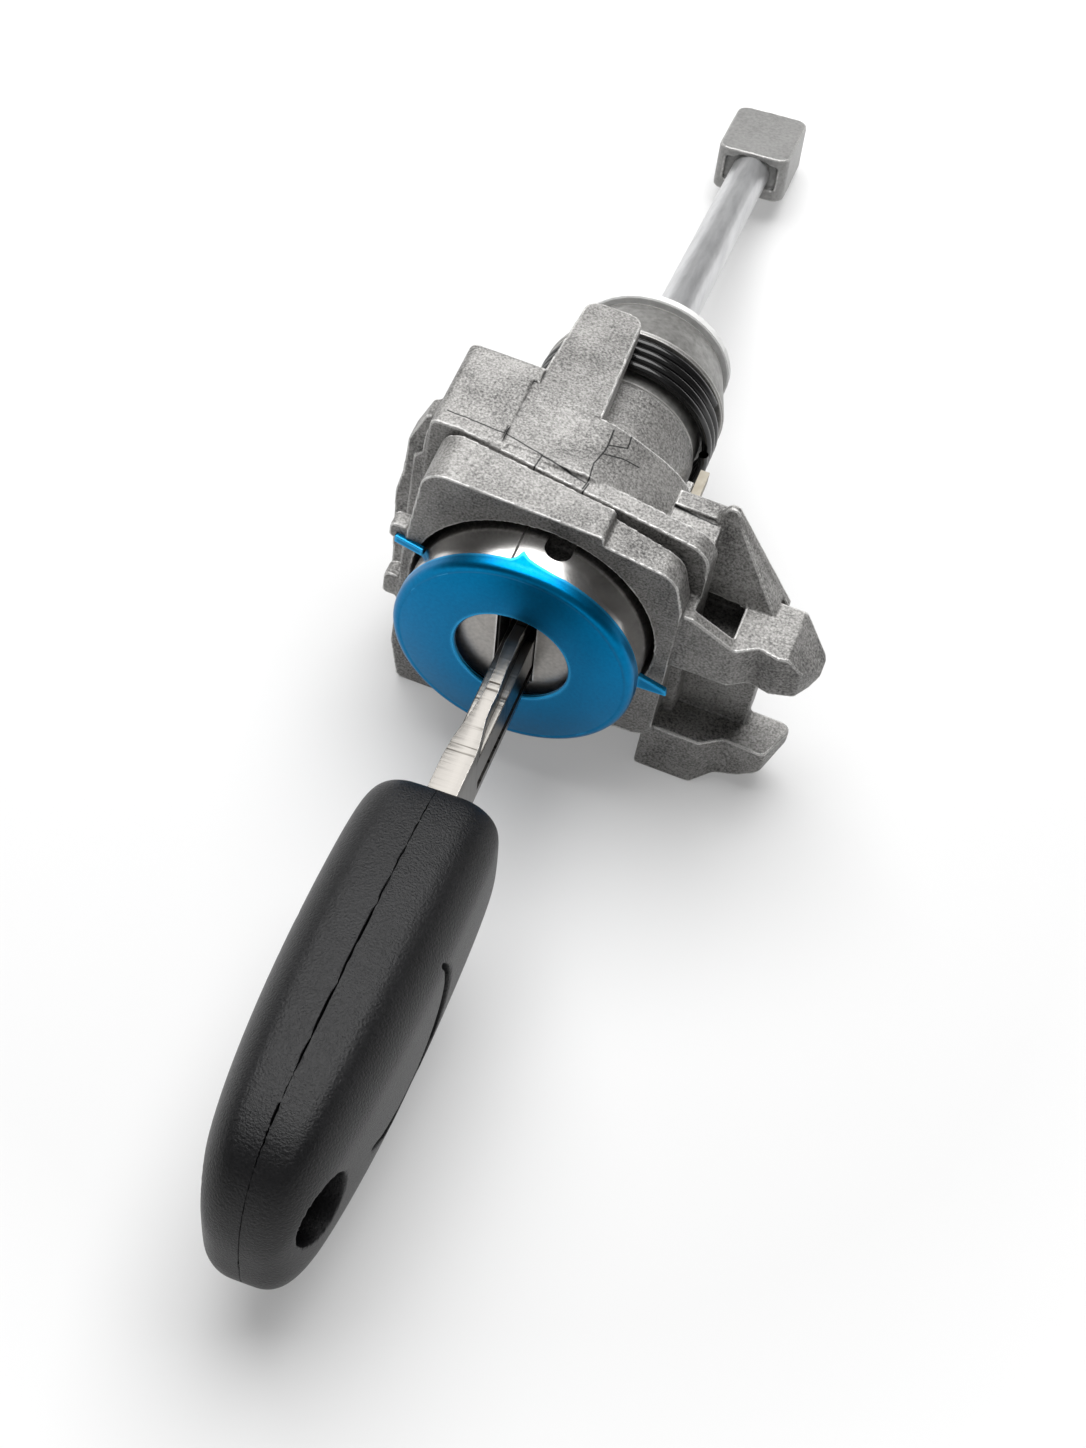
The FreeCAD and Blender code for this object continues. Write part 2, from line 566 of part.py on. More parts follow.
def bow_body():
    body = Part.makeLoft([bow_section(*s) for s in BOW_SECTIONS], True, True)
    (cy, cz), ay, az = BOW_PANEL
    half = BOW_SECTIONS[4][1]
    for side in (-1, 1):
        outer = ellipse_block(cy, cz, ay, az, side)
        inner = ellipse_block(cy, cz, ay - BOW_PANEL_RIM, az - BOW_PANEL_RIM, side)
        skin = box(-BIG, BIG, -BIG, BIG, -BIG, BIG)
        reach = half - BOW_PANEL_DEPTH
        deep = box(-reach, reach, -BIG * 2, BIG, -BIG, BIG)
        body = body.cut(outer.cut(inner).cut(deep).common(skin))
        dy, dz = BOW_SLIT
        crescent = ellipse_block(cy, cz, ay - BOW_PANEL_RIM, az - BOW_PANEL_RIM, side)
        crescent = crescent.cut(ellipse_block(cy - dy, cz + dz, ay - BOW_PANEL_RIM, az - BOW_PANEL_RIM, side))
        body = body.cut(crescent.cut(box(-reach + 1, reach - 1, -BIG * 2, BIG, -BIG, BIG)))
    hole = Part.makeCylinder(RING_HOLE_R, 2 * BIG, V(-BIG, RING_HOLE_Y, RING_HOLE_Z), V(1, 0, 0))
    lifted = hole.copy()
    lifted.translate(V(0, 0, RING_HOLE_LEN))
    bridge = box(-BIG, BIG, RING_HOLE_Y - RING_HOLE_R, RING_HOLE_Y + RING_HOLE_R,
                 RING_HOLE_Z, RING_HOLE_Z + RING_HOLE_LEN)
    return body.cut(hole.fuse([lifted, bridge]))


def ellipse_block(cy, cz, ay, az, side):
    curve = Part.Ellipse(V(0, cy, cz), ay, az)
    curve.Axis = V(1, 0, 0)
    curve.XAxis = V(0, 1, 0)
    face = Part.Face(Part.Wire(curve.toShape()))
    return face.extrude(V(side * BIG, 0, 0))


def bow_shell(side):
    body = bow_body()
    keep = box(BOW_SPLIT_GAP / 2, BIG, -2 * BIG, BIG, -BIG, BIG)
    if side < 0:
        keep = box(-BIG, -BOW_SPLIT_GAP / 2, -2 * BIG, BIG, -BIG, BIG)
    shell = body.common(keep)
    g = BLADE_POCKET_GAP
    shell = shell.cut(box(-BLADE_HALF_T - g, BLADE_HALF_T + g, BLADE_ROOT - g, 0,
                          -BLADE_HALF_H - g, BLADE_HALF_H + g))
    shell = shell.cut(chip_box(g))
    shell = shell.cut(cross_pin(KEYPIN_R, KEYPIN_LEN / 2, KEYPIN_Y))
    return key_placed(one_solid(shell))


def chip_box(gap=0.0):
    y0, y1, half_x, half_z = CHIP_BOX
    return box(-half_x - gap, half_x + gap, y0 - gap, y1 + gap,
               CHIP_CENTRE_Z - half_z - gap, CHIP_CENTRE_Z + half_z + gap)


def blade_pin():
    half = KEYPIN_LEN / 2 - SEAT_GAP
    return key_placed(cross_pin(KEYPIN_R - SEAT_GAP / 4, half, KEYPIN_Y))


def driver():
    y0, y1 = SPOOL_Y
    y2 = DRUM_Y[1]
    profile = [(0, y0), (SPOOL_R, y0), (SPOOL_R, y1), (DRUM_FRONT_R - DRUM_EDGE, y1),
               (DRUM_FRONT_R, y1 + DRUM_EDGE), (DRUM_REAR_R, y2 - DRUM_EDGE), (DRUM_REAR_R - DRUM_EDGE, y2),
               (0, y2)]
    drum = turned_profile(profile)
    half = TANG_HALF + RUN_GAP
    tang = rolled(box(-half, half, y0 - 1, TANG_END + SEAT_GAP, -half, half))
    socket = box(-SOCKET_HALF_W, SOCKET_HALF_W, SOCKET_FRONT, y2 + 1, -SOCKET_HALF_H, SOCKET_HALF_H)
    drum = drum.cut(tang).cut(drum_placed(socket))
    drum = drum.cut(rolled(cross_pin(DRIVER_PIN_R, DRIVER_PIN_HALF, DRIVER_PIN_Y)))
    return one_solid(drum.cut(drum_placed(cross_pin(ROD_PIN_R, ROD_PIN_HALF, PIVOT_Y))))


def driver_pin():
    return rolled(cross_pin(DRIVER_PIN_R - SEAT_GAP / 4, DRIVER_PIN_HALF - SEAT_GAP, DRIVER_PIN_Y))


def rod_pin():
    return drum_placed(cross_pin(ROD_PIN_R - SEAT_GAP / 4, ROD_PIN_HALF - SEAT_GAP, PIVOT_Y))


def rear_washer():
    y0 = DRUM_Y[1] + SEAT_GAP / 4
    plate = ring(WASHER_R, WASHER_HOLE_R, y0, y0 + WASHER_T)
    collar = ring(WASHER_COLLAR_R, WASHER_HOLE_R, y0, y0 + WASHER_T + WASHER_COLLAR_H)
    return one_solid(plate.fuse(collar))


def return_spring():
    """Coil as a chain of straight lengths round the spool, with one leg forward to the stop."""
    count = int(COIL_TURNS * COIL_STEPS) + 1
    sections = []
    for i in range(count):
        a = 2 * pi * (i + COIL_START) / COIL_STEPS
        y = COIL_FRONT_Y + COIL_PITCH * i / COIL_STEPS
        ring_points = []
        for k in range(COIL_SIDES + 1):
            b = 2 * pi * k / COIL_SIDES
            r = COIL_MEAN_R + COIL_WIRE_R * cos(b)
            ring_points.append(V(r * cos(a), y + COIL_WIRE_R * sin(b), -r * sin(a)))
        sections.append(Part.makePolygon(ring_points))
    coil = Part.makeLoft(sections, True, True)
    a = 2 * pi * COIL_START / COIL_STEPS
    x, z = COIL_MEAN_R * cos(a), -COIL_MEAN_R * sin(a)
    leg = rod(COIL_WIRE_R, COIL_FRONT_Y - COIL_LEG_LEN, COIL_FRONT_Y, x, z)
    return one_solid(coil.fuse(leg))


def tail_rod():
    shaft = rod(ROD_R, ROD_FRONT, ROD_END)
    shaft = shaft.cut(cross_pin(ROD_PIN_R + RUN_GAP, BIG, 0))
    return tail_placed(one_solid(shaft))


def tail_block():
    s0, s1 = BLOCK_S
    w = BLOCK_HALF_W
    r = BLOCK_CORNER_R
    plan = [(-w, s0, r), (-w, s1, r), (w, s1, r), (w, s0, r)]
    block = prism_z(plan, BLOCK_FOOT, BLOCK_TOP)
    half_x, z0, z1, depth = BLOCK_RECESS
    block = block.cut(box(-half_x, half_x, s0 - 1, s0 + depth, z0, z1))
    block.rotate(ORIGIN, AXIS, TAIL_ROLL)
    block = block.cut(rod(ROD_R, 0, ROD_END))
    return tail_placed(one_solid(block))


def build():
    os.makedirs("parts", exist_ok=True)
    nodes = {
        "housing": housing(),
        "face_cap": face_cap(),
        "face_sleeve": face_sleeve(),
        "lock_barrel": lock_barrel(),
        "plug": plug(),
        "plug_face": plug_face(),
        "key_blade": key_blade(),
        "key_bow_left": bow_shell(-1),
        "key_bow_right": bow_shell(1),
        "key_chip": key_placed(chip_box()),
        "blade_pin": blade_pin(),
        "driver": driver(),
        "driver_pin": driver_pin(),
        "rod_pin": rod_pin(),
        "rear_washer": rear_washer(),
        "spring_stop": box(*STOP_PAD),
        "tail_rod": tail_rod(),
        "tail_block": tail_block(),
    }
    for i in range(WAFER_COUNT):
        nodes["wafer_%d" % (i + 1)] = wafer(i)
        nodes["wafer_spring_%d" % (i + 1)] = wafer_spring(i)
    nodes["return_spring"] = return_spring()
    for name, shape in nodes.items():
        shape.exportStep("parts/%s.step" % name)


build()
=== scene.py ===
from math import cos, pi, radians, sin

import bpy
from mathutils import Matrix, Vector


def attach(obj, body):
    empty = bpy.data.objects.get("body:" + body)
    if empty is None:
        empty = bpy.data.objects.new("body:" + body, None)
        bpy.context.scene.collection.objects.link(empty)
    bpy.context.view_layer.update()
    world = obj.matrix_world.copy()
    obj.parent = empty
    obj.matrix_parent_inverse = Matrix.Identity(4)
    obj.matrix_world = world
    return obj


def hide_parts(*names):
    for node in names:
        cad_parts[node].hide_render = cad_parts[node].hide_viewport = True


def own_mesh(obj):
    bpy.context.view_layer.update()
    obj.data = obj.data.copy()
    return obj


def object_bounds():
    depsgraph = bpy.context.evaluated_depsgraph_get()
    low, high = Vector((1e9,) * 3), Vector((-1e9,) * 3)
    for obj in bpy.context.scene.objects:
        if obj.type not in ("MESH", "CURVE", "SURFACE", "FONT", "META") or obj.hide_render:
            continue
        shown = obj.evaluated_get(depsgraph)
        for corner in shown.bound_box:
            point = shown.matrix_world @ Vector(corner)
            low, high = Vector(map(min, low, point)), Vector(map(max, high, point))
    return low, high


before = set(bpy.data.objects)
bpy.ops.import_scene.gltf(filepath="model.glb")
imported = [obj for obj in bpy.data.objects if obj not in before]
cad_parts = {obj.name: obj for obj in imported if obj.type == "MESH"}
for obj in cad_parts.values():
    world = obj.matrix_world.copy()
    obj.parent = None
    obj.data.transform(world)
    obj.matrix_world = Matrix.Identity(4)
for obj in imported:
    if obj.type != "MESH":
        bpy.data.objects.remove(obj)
cad_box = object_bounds()

# Table and lamps: a white matt sheet that the lock lies on, one big soft lamp high on the
# left behind the lock, a weak wide one above the camera, and a room pale low down, dim above.
mm = 0.001


def add_node(tree, kind, settings=None, **values):
    made = tree.nodes.new(kind)
    for key, value in (settings or {}).items():
        setattr(made, key, value)
    for key, value in values.items():
        made.inputs[key.replace("_", " ")].default_value = value
    return made


def seen_directly(tree):
    """1 for rays from the camera, a mirror or glass, else 0."""
    path = add_node(tree, "ShaderNodeLightPath")
    mirrored = add_node(tree, "ShaderNodeMath", {"operation": "MAXIMUM"})
    seen = add_node(tree, "ShaderNodeMath", {"operation": "MAXIMUM"})
    tree.links.new(path.outputs["Is Glossy Ray"], mirrored.inputs[0])
    tree.links.new(path.outputs["Is Transmission Ray"], mirrored.inputs[1])
    tree.links.new(path.outputs["Is Camera Ray"], seen.inputs[0])
    tree.links.new(mirrored.outputs["Value"], seen.inputs[1])
    return seen.outputs["Value"]


table_z = cad_box[0][2]
bpy.ops.object.select_all(action="DESELECT")
bpy.ops.mesh.primitive_plane_add(size=6, location=(0, 0, table_z - 0.02 * mm))
table = bpy.context.object
table.name = "table"
paper = bpy.data.materials.new("table_paper")
paper.use_nodes = True
paper_shader = paper.node_tree.nodes["Principled BSDF"]
paper_shader.inputs["Base Color"].default_value = (0.57, 0.57, 0.57, 1)
paper_shader.inputs["Roughness"].default_value = 0.9
paper_shader.inputs["Specular IOR Level"].default_value = 0.1
paper_shader.inputs["Emission Color"].default_value = (1, 1, 1, 1)
lift = add_node(paper.node_tree, "ShaderNodeMath", {"operation": "MULTIPLY"})
paper_place = add_node(paper.node_tree, "ShaderNodeTexCoord")
from_lock = add_node(paper.node_tree, "ShaderNodeVectorMath", {"operation": "LENGTH"})
paper_lift = add_node(paper.node_tree, "ShaderNodeMapRange", From_Min=0.06, From_Max=0.32, To_Min=0.24, To_Max=1.0)
paper.node_tree.links.new(paper_place.outputs["Object"], from_lock.inputs["Vector"])
paper.node_tree.links.new(from_lock.outputs["Value"], paper_lift.inputs["Value"])
paper.node_tree.links.new(seen_directly(paper.node_tree), lift.inputs[0])
paper.node_tree.links.new(paper_lift.outputs["Result"], lift.inputs[1])
paper.node_tree.links.new(lift.outputs["Value"], paper_shader.inputs["Emission Strength"])
table.data.materials.append(paper)

room = bpy.data.worlds.new("pale_room")
bpy.context.scene.world = room
room.use_nodes = True
room_light = room.node_tree.nodes["Background"]
room_light.inputs["Color"].default_value = (1, 1, 1, 1)
direction = add_node(room.node_tree, "ShaderNodeTexCoord")
height = add_node(room.node_tree, "ShaderNodeSeparateXYZ")
room_level = add_node(room.node_tree, "ShaderNodeMapRange", From_Min=0.06, From_Max=0.3, To_Min=0.48, To_Max=0.09)
low_white = add_node(room.node_tree, "ShaderNodeMapRange", From_Min=0.0, From_Max=0.1, To_Min=1.0, To_Max=0.0)
white_low = add_node(room.node_tree, "ShaderNodeMath", {"operation": "MULTIPLY"})
white_seen = add_node(room.node_tree, "ShaderNodeMath", {"operation": "MAXIMUM"})
room_seen = add_node(room.node_tree, "ShaderNodeMath", {"operation": "MAXIMUM"})
camera_path = add_node(room.node_tree, "ShaderNodeLightPath")
room.node_tree.links.new(direction.outputs["Generated"], height.inputs["Vector"])
room.node_tree.links.new(height.outputs["Z"], room_level.inputs["Value"])
room.node_tree.links.new(height.outputs["Z"], low_white.inputs["Value"])
room.node_tree.links.new(seen_directly(room.node_tree), white_low.inputs[0])
room.node_tree.links.new(low_white.outputs["Result"], white_low.inputs[1])
room.node_tree.links.new(white_low.outputs["Value"], white_seen.inputs[0])
room.node_tree.links.new(camera_path.outputs["Is Camera Ray"], white_seen.inputs[1])
room.node_tree.links.new(white_seen.outputs["Value"], room_seen.inputs[0])
room.node_tree.links.new(room_level.outputs["Result"], room_seen.inputs[1])
room.node_tree.links.new(room_seen.outputs["Value"], room_light.inputs["Strength"])

for lamp_name, place, aim, size, power in (
    ("soft_lamp", (-0.09, 0.20, 0.55), (0, 0.01, 0), 0.62, 6.4),
    ("camera_lamp", (0.10, -0.42, 0.40), (0, 0, 0), 0.50, 0.2),
):
    bpy.ops.object.light_add(type="AREA", location=place)
    lamp = bpy.context.object
    lamp.name = lamp_name
    lamp.data.size = size
    lamp.data.energy = power
    away = lamp.location - type(lamp.location)(aim)
    lamp.rotation_euler = away.to_track_quat("Z", "Y").to_euler()

bpy.ops.object.camera_add(
    location=(31.2816 * mm, -151.2906 * mm, 205.3572 * mm),
    rotation=(radians(35.0861), radians(-7.0615), radians(19.9795)),
)
camera = bpy.context.object
camera.name = "photo_camera"
camera.data.sensor_width = 36
camera.data.lens = 67.127
camera.data.clip_start = 0.01
bpy.context.scene.camera = camera
bpy.context.scene.view_settings.view_transform = "Standard"


# Housing: one zinc die casting with a sandy matt skin, its edges rubbed bright and given a painted highlight, its
# creases given painted shade. The bezel block, flange, boss, arm and the two clip hooks are one piece, straight from
# the die.
def new_group(name, inputs, outputs):
    group = bpy.data.node_groups.new(name, "ShaderNodeTree")
    for socket, value in inputs.items():
        group.interface.new_socket(socket, in_out="INPUT", socket_type="NodeSocketFloat").default_value = value
    for socket in outputs:
        group.interface.new_socket(socket, in_out="OUTPUT", socket_type="NodeSocketFloat")
    return group, group.nodes.new("NodeGroupInput"), group.nodes.new("NodeGroupOutput")


def new_finish(name, colour, metallic, roughness):
    finish = bpy.data.materials.new(name)
    finish.use_nodes = True
    shader = finish.node_tree.nodes["Principled BSDF"]
    shader.inputs["Base Color"].default_value = (*colour, 1)
    shader.inputs["Metallic"].default_value = metallic
    shader.inputs["Roughness"].default_value = roughness
    return finish, finish.node_tree, shader


def dress(node, finish):
    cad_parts[node].data.materials.clear()
    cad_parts[node].data.materials.append(finish)


grain, grain_in, grain_out = new_group("surface_grain", {"Size": 3000.0, "Stretch": 1.0, "Across": 1.0}, ["Tone", "Height"])
place = add_node(grain, "ShaderNodeTexCoord")
squeeze = add_node(grain, "ShaderNodeCombineXYZ")
stretched = add_node(grain, "ShaderNodeVectorMath", {"operation": "MULTIPLY"})
fine = add_node(grain, "ShaderNodeTexNoise", Detail=3.0, Roughness=0.6)
broad = add_node(grain, "ShaderNodeTexNoise", Scale=180.0, Detail=4.0, Roughness=0.6)
blended = add_node(grain, "ShaderNodeMix", {"data_type": "FLOAT"}, Factor=0.35)
grain.links.new(grain_in.outputs["Stretch"], squeeze.inputs["Y"])
grain.links.new(grain_in.outputs["Across"], squeeze.inputs["X"])
grain.links.new(grain_in.outputs["Across"], squeeze.inputs["Z"])
grain.links.new(place.outputs["Object"], stretched.inputs[0])
grain.links.new(squeeze.outputs["Vector"], stretched.inputs[1])
grain.links.new(stretched.outputs["Vector"], fine.inputs["Vector"])
grain.links.new(stretched.outputs["Vector"], broad.inputs["Vector"])
grain.links.new(grain_in.outputs["Size"], fine.inputs["Scale"])
grain.links.new(fine.outputs["Fac"], blended.inputs["A"])
grain.links.new(broad.outputs["Fac"], blended.inputs["B"])
grain.links.new(blended.outputs["Result"], grain_out.inputs["Tone"])
grain.links.new(fine.outputs["Fac"], grain_out.inputs["Height"])

# Edge group: one mask for convex edges, used for rubbed wear plus a painted highlight, and one for concave creases,
# used for painted shade.
edge_wear_and_light, edge_wear_and_light_in, edge_wear_and_light_out = new_group("edge_wear_and_painted_light", {"Width": 0.0003}, ["Mask", "Crease_Shade"])
rounded = add_node(edge_wear_and_light, "ShaderNodeBevel", {"samples": 8})
flat = add_node(edge_wear_and_light, "ShaderNodeNewGeometry")
turn = add_node(edge_wear_and_light, "ShaderNodeVectorMath", {"operation": "DOT_PRODUCT"})
near_edge = add_node(edge_wear_and_light, "ShaderNodeMapRange")
near_edge.inputs["From Min"].default_value = 0.9985
near_edge.inputs["From Max"].default_value = 0.975
edge_wear_and_light.links.new(edge_wear_and_light_in.outputs["Width"], rounded.inputs["Radius"])
edge_wear_and_light.links.new(rounded.outputs["Normal"], turn.inputs[0])
edge_wear_and_light.links.new(flat.outputs["Normal"], turn.inputs[1])
edge_wear_and_light.links.new(turn.outputs["Value"], near_edge.inputs["Value"])
# First range: convex edges for wear plus painted highlight; second range: concave creases for painted shade.
for output, level_start, level_end in (("Mask", 0.508, 0.532), ("Crease_Shade", 0.495, 0.478)):
    bend = add_node(edge_wear_and_light, "ShaderNodeMapRange")
    bend.inputs["From Min"].default_value = level_start
    bend.inputs["From Max"].default_value = level_end
    both = add_node(edge_wear_and_light, "ShaderNodeMath", {"operation": "MULTIPLY"})
    edge_wear_and_light.links.new(flat.outputs["Pointiness"], bend.inputs["Value"])
    edge_wear_and_light.links.new(near_edge.outputs["Result"], both.inputs[0])
    edge_wear_and_light.links.new(bend.outputs["Result"], both.inputs[1])
    edge_wear_and_light.links.new(both.outputs["Value"], edge_wear_and_light_out.inputs[output])


def speckled(name, dark, light, metallic, roughness, size, bump, worn_highlight=None, stretch=1.0, across=1.0, edge=0.0003,
             ramp=(0.36, 0.62), depth=0.00006):
    """Finish whose colour varies between two tones with the grain; the worn colour, if given, goes on convex edges as
    rubbed wear plus a painted highlight, and creases are darkened as painted shade.
    """
    finish, tree, shader = new_finish(name, light, metallic, roughness)
    skin = add_node(tree, "ShaderNodeGroup", {"node_tree": grain}, Size=size, Stretch=stretch, Across=across)
    tones = add_node(tree, "ShaderNodeValToRGB")
    tones.color_ramp.elements[0].position = ramp[0]
    tones.color_ramp.elements[0].color = (*dark, 1)
    tones.color_ramp.elements[1].position = ramp[1]
    tones.color_ramp.elements[1].color = (*light, 1)
    relief = add_node(tree, "ShaderNodeBump", Strength=bump, Distance=depth)
    tree.links.new(skin.outputs["Tone"], tones.inputs["Fac"])
    tree.links.new(skin.outputs["Height"], relief.inputs["Height"])
    tree.links.new(relief.outputs["Normal"], shader.inputs["Normal"])
    colour = tones.outputs["Color"]
    # Convex edges take the worn colour: rubbed wear plus a painted highlight.
    if worn_highlight:
        wear_and_light_node = add_node(tree, "ShaderNodeGroup", {"node_tree": edge_wear_and_light}, Width=edge)
        wear_and_highlight = add_node(tree, "ShaderNodeMix", {"data_type": "RGBA"})
        wear_and_highlight.inputs["B"].default_value = (*worn_highlight, 1)
        tree.links.new(wear_and_light_node.outputs["Mask"], wear_and_highlight.inputs["Factor"])
        tree.links.new(colour, wear_and_highlight.inputs["A"])
        # Creases take a near-black colour: painted shade.
        crease_shade = add_node(tree, "ShaderNodeMix", {"data_type": "RGBA"})
        crease_shade.inputs["B"].default_value = (0.03, 0.03, 0.03, 1)
        tree.links.new(wear_and_light_node.outputs["Crease_Shade"], crease_shade.inputs["Factor"])
        tree.links.new(wear_and_highlight.outputs["Result"], crease_shade.inputs["A"])
        colour = crease_shade.outputs["Result"]
    tree.links.new(colour, shader.inputs["Base Color"])
    return finish


# Edges: rubbed wear with a painted highlight; creases: painted shade.
cast_zinc = speckled("cast_zinc", (0.06, 0.058, 0.056), (0.375, 0.367, 0.354), 0.35, 0.44, 4200, 1.0,
                     worn_highlight=(0.92, 0.91, 0.89), edge=0.00045)
dress("plug", cast_zinc)


def only(piece):
    """Selects one piece alone and makes it the active one."""
    bpy.ops.object.select_all(action="DESELECT")
    piece.select_set(True)
    bpy.context.view_layer.objects.active = piece
    return piece


def use_modifier(piece, kind, **settings):
    only(piece)
    step = piece.modifiers.new(kind.lower(), kind)
    for key, value in settings.items():
        setattr(step, key, value)
    bpy.ops.object.modifier_apply(modifier=step.name)


def copy_of_solid(name, node):
    """The plain solid's surface as a new piece, its loose triangles joined up."""
    piece = bpy.data.objects.new(name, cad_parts[node].data.copy())
    bpy.context.scene.collection.objects.link(piece)
    only(piece)
    bpy.ops.object.mode_set(mode="EDIT")
    bpy.ops.mesh.select_all(action="SELECT")
    bpy.ops.mesh.remove_doubles(threshold=0.001 * mm)
    bpy.ops.object.mode_set(mode="OBJECT")
    return piece


def soften(piece, grid, passes, keep):
    """Rounds every edge as a die or a mould leaves it, then drops the faces that flat skin doesn't need."""
    use_modifier(piece, "REMESH", mode="VOXEL", voxel_size=grid * mm)
    use_modifier(piece, "SMOOTH", factor=0.5, iterations=passes)
    use_modifier(piece, "DECIMATE", ratio=keep)
    bpy.ops.object.shade_smooth()


def slab(name, outline, low, high, along="z"):
    """A flat piece with a drawn outline, from one place to another along an axis: x, y points for z, x, z for y."""
    bpy.ops.object.select_all(action="DESELECT")
    bpy.ops.mesh.primitive_circle_add(vertices=len(outline), radius=mm, fill_type="NGON")
    piece = bpy.context.object
    piece.name = name
    for vertex, (across, up) in zip(piece.data.vertices, outline):
        vertex.co = (across * mm, up * mm, low * mm) if along == "z" else (across * mm, low * mm, up * mm)
    bpy.ops.object.mode_set(mode="EDIT")
    bpy.ops.mesh.select_all(action="SELECT")
    rise = (high - low) * mm
    bpy.ops.mesh.extrude_region_move(
        TRANSFORM_OT_translate={"value": (0, 0, rise) if along == "z" else (0, rise, 0)})
    bpy.ops.mesh.select_all(action="SELECT")
    bpy.ops.mesh.normals_make_consistent(inside=False)
    bpy.ops.object.mode_set(mode="OBJECT")
    return piece


def cut(piece, cutter, keep=False):
    use_modifier(piece, "BOOLEAN", object=cutter, operation="DIFFERENCE", solver="EXACT")
    if not keep:
        bpy.data.objects.remove(cutter)


def join_into(piece, others):
    only(piece)
    for other in others:
        other.select_set(True)
    bpy.ops.object.join()
    return piece


def finish_piece(piece, finish, body, slot, *nodes):
    piece.data.materials.clear()
    piece.data.materials.append(finish)
    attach(piece, body)
    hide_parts(*nodes)


casting = copy_of_solid("housing_casting", "housing")
above_arm = slab("above_arm", [(-7.2, 11.9), (6.4, 11.9), (6.4, 21), (-7.2, 21)], 14, 18)
for vertex in above_arm.data.vertices:
    if vertex.co.z < 15 * mm:
        vertex.co.z = 14.78 * mm - 0.027 * (vertex.co.y - 11.9 * mm)
cut(casting, above_arm)
boss = slab("boss", [(-3, 9), (-3, 14.6), (0.8, 14.72), (1.7, 14.6), (2.6, 14.3), (4.2, 13.7), (6.1, 12.75), (7.3, 12.1),
                     (8.4, 11.35), (9.3, 10.6), (10.1, 9.8), (10.1, 6), (8, 6)], 11.9, 19.2, along="y")
web_slope = slab("web_slope", [(14.0, 5.35), (14.0, 12.2), (15.1, 14.2), (15.7, 14.2), (22.0, 5.35), (22.2, 4.8), (20.4, 4.8)],
                 11.5, 14.4, along="y")
for vertex in web_slope.data.vertices:
    if vertex.co.y < 14 * mm:
        vertex.co.y = 11.5 * mm + 0.31 * (vertex.co.z - 5.35 * mm)
join_into(casting, [boss, web_slope])
soften(casting, 0.15, 2, 0.24)


def drawn_lines(finish, runs, width, least_z):
    """Darkens a finish along fine straight runs of x, y points seen from above, as die parting marks do."""
    tree = finish.node_tree
    shader = tree.nodes["Principled BSDF"]
    colour = shader.inputs["Base Color"].links[0].from_socket
    place = add_node(tree, "ShaderNodeTexCoord")
    ruffle = add_node(tree, "ShaderNodeTexNoise", Scale=900.0)
    spot = add_node(tree, "ShaderNodeVectorMath", {"operation": "MULTIPLY_ADD"})
    spot.inputs[1].default_value = (0.00016, 0.00016, 0)
    level = add_node(tree, "ShaderNodeVectorMath", {"operation": "MULTIPLY"})
    level.inputs[1].default_value = (1, 1, 0)
    tree.links.new(place.outputs["Object"], level.inputs[0])
    tree.links.new(place.outputs["Object"], ruffle.inputs["Vector"])
    tree.links.new(ruffle.outputs["Color"], spot.inputs[0])
    tree.links.new(level.outputs["Vector"], spot.inputs[2])
    nearest = None
    for run in runs:
        for (x0, y0), (x1, y1) in zip(run, run[1:]):
            length = ((x1 - x0) ** 2 + (y1 - y0) ** 2) * mm ** 2
            from_start = add_node(tree, "ShaderNodeVectorMath", {"operation": "SUBTRACT"})
            from_start.inputs[1].default_value = (x0 * mm, y0 * mm, 0)
            along = add_node(tree, "ShaderNodeVectorMath", {"operation": "DOT_PRODUCT"})
            along.inputs[1].default_value = ((x1 - x0) * mm / length, (y1 - y0) * mm / length, 0)
            share = add_node(tree, "ShaderNodeClamp")
            foot = add_node(tree, "ShaderNodeVectorMath", {"operation": "SCALE"})
            foot.inputs[0].default_value = ((x1 - x0) * mm, (y1 - y0) * mm, 0)
            apart = add_node(tree, "ShaderNodeVectorMath", {"operation": "DISTANCE"})
            tree.links.new(spot.outputs["Vector"], from_start.inputs[0])
            tree.links.new(from_start.outputs["Vector"], along.inputs[0])
            tree.links.new(along.outputs["Value"], share.inputs["Value"])
            tree.links.new(share.outputs["Result"], foot.inputs["Scale"])
            tree.links.new(from_start.outputs["Vector"], apart.inputs[0])
            tree.links.new(foot.outputs["Vector"], apart.inputs[1])
            if nearest:
                closer = add_node(tree, "ShaderNodeMath", {"operation": "MINIMUM"})
                tree.links.new(nearest, closer.inputs[0])
                tree.links.new(apart.outputs["Value"], closer.inputs[1])
                nearest = closer.outputs["Value"]
            else:
                nearest = apart.outputs["Value"]
    stroke = add_node(tree, "ShaderNodeMapRange", From_Min=width * 0.4 * mm, From_Max=width * mm,
                      To_Min=1.0, To_Max=0.0)
    height = add_node(tree, "ShaderNodeSeparateXYZ")
    high = add_node(tree, "ShaderNodeMath", {"operation": "GREATER_THAN"})
    high.inputs[1].default_value = least_z * mm
    mask = add_node(tree, "ShaderNodeMath", {"operation": "MULTIPLY"})
    inked = add_node(tree, "ShaderNodeMix", {"data_type": "RGBA"})
    inked.inputs["B"].default_value = (0.012, 0.012, 0.012, 1)
    tree.links.new(nearest, stroke.inputs["Value"])
    tree.links.new(place.outputs["Object"], height.inputs["Vector"])
    tree.links.new(height.outputs["Z"], high.inputs[0])
    tree.links.new(stroke.outputs["Result"], mask.inputs[0])
    tree.links.new(high.outputs["Value"], mask.inputs[1])
    tree.links.new(mask.outputs["Value"], inked.inputs["Factor"])
    tree.links.new(colour, inked.inputs["A"])
    tree.links.new(inked.outputs["Result"], shader.inputs["Base Color"])


